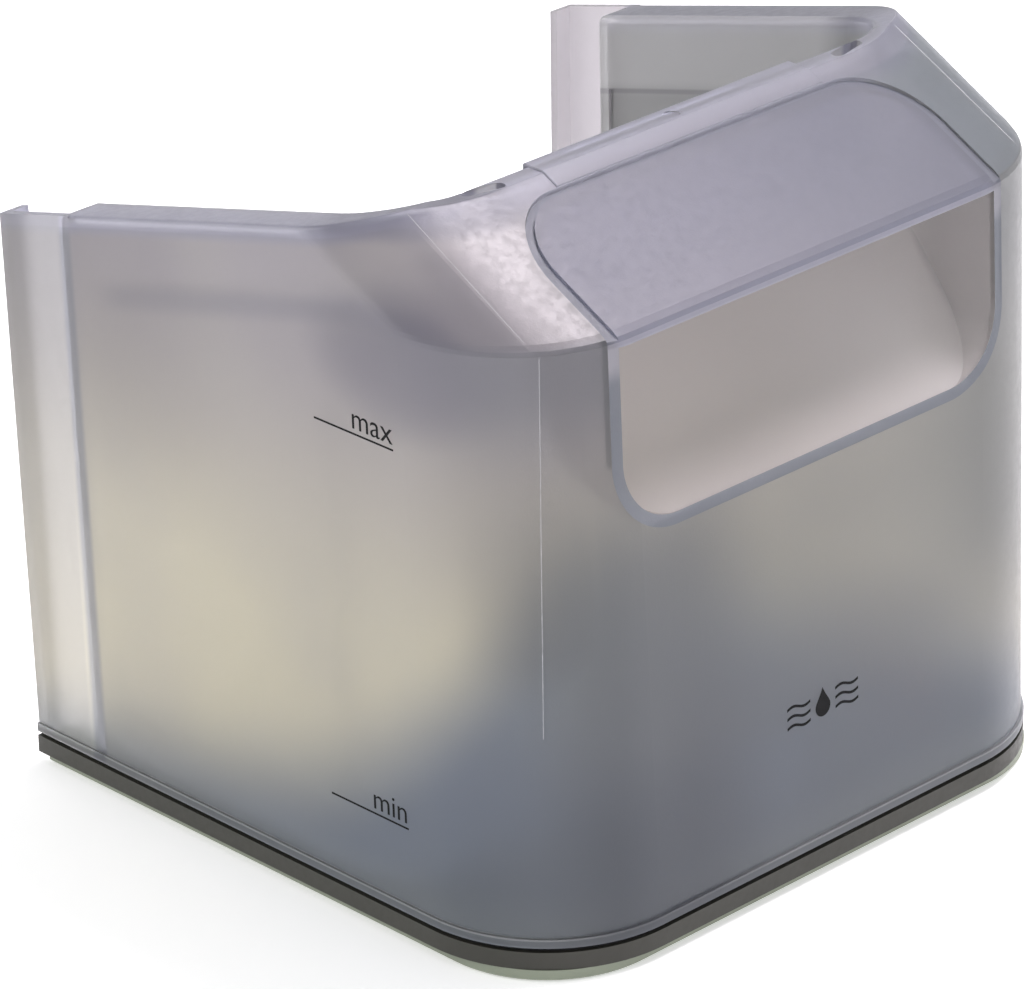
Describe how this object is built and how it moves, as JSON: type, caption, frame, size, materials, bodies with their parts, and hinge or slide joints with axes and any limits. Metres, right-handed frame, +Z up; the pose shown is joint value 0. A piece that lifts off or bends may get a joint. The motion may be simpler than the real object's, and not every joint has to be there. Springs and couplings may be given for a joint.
{
  "type": "steam station water tank",
  "caption": "U-shaped lift-off water tank for a steam ironing station, with a sloping front and grip pocket, rear hook lips, hinged filler flap, spring-loaded outlet valve and level float.",
  "frame": {"origin": "centre of the bounding box on the floor plane, at the underside of the base plate", "axes": "+X to the right along the front, +Y back from the front face towards the hook lips, +Z up"},
  "size_m": [0.2048, 0.1922, 0.1911],
  "materials": {
    "tank_frosted": "frosted translucent, satin",
    "grip_frosted": "frosted translucent, satin",
    "flap_frosted": "frosted translucent, satin",
    "band_dark": "dark olive grey, satin",
    "gasket_rubber": "matt",
    "seal_rubber": "matt silicone",
    "plate_pale": "pale grey-green, satin",
    "valve_white": "moulded",
    "poppet_blue": "moulded",
    "spring_steel": "drawn wire",
    "screw_steel": "stainless",
    "pin_steel": "ground",
    "filter_grey": "moulded",
    "mesh_steel": "woven mesh",
    "float_orange": "moulded",
    "magnet_nickel": "nickel plated"
  },
  "bodies": {
    "tank": {"tank_shell": "tank_frosted", "grip_insert": "grip_frosted", "base_gasket": "gasket_rubber", "trim_band": "band_dark", "base_plate": "plate_pale", "valve_housing": "valve_white", "valve_spring": "spring_steel", "valve_retainer": "valve_white", "spout_o_ring": "seal_rubber", "valve_screws": "screw_steel", "filter_frame": "filter_grey", "filter_mesh": "mesh_steel", "float_cage": "valve_white", "flap_pin": "pin_steel"},
    "flap": {"filler_flap": "flap_frosted", "flap_seal": "seal_rubber"},
    "poppet": {"valve_poppet": "poppet_blue", "valve_seal": "seal_rubber"},
    "float": {"float_body": "float_orange", "float_magnet": "magnet_nickel", "float_cap": "float_orange"}
  },
  "joints": [
    {"name": "flap_hinge", "type": "hinge", "parent": "tank", "child": "flap", "pos_m": [0, -0.0351, 0.1826], "axis": [1, 0, 0], "range_deg": [0, 105]},
    {"name": "valve_lift", "type": "slide", "parent": "tank", "child": "poppet", "axis": [0, 0, 1], "range_m": [0, 0.0035], "stiffness_N_per_m": 300, "springref_m": -0.004, "deforming": ["valve_spring"]},
    {"name": "float_rise", "type": "slide", "parent": "tank", "child": "float", "axis": [0, 0, 1], "range_m": [0, 0.018]}
  ]
}
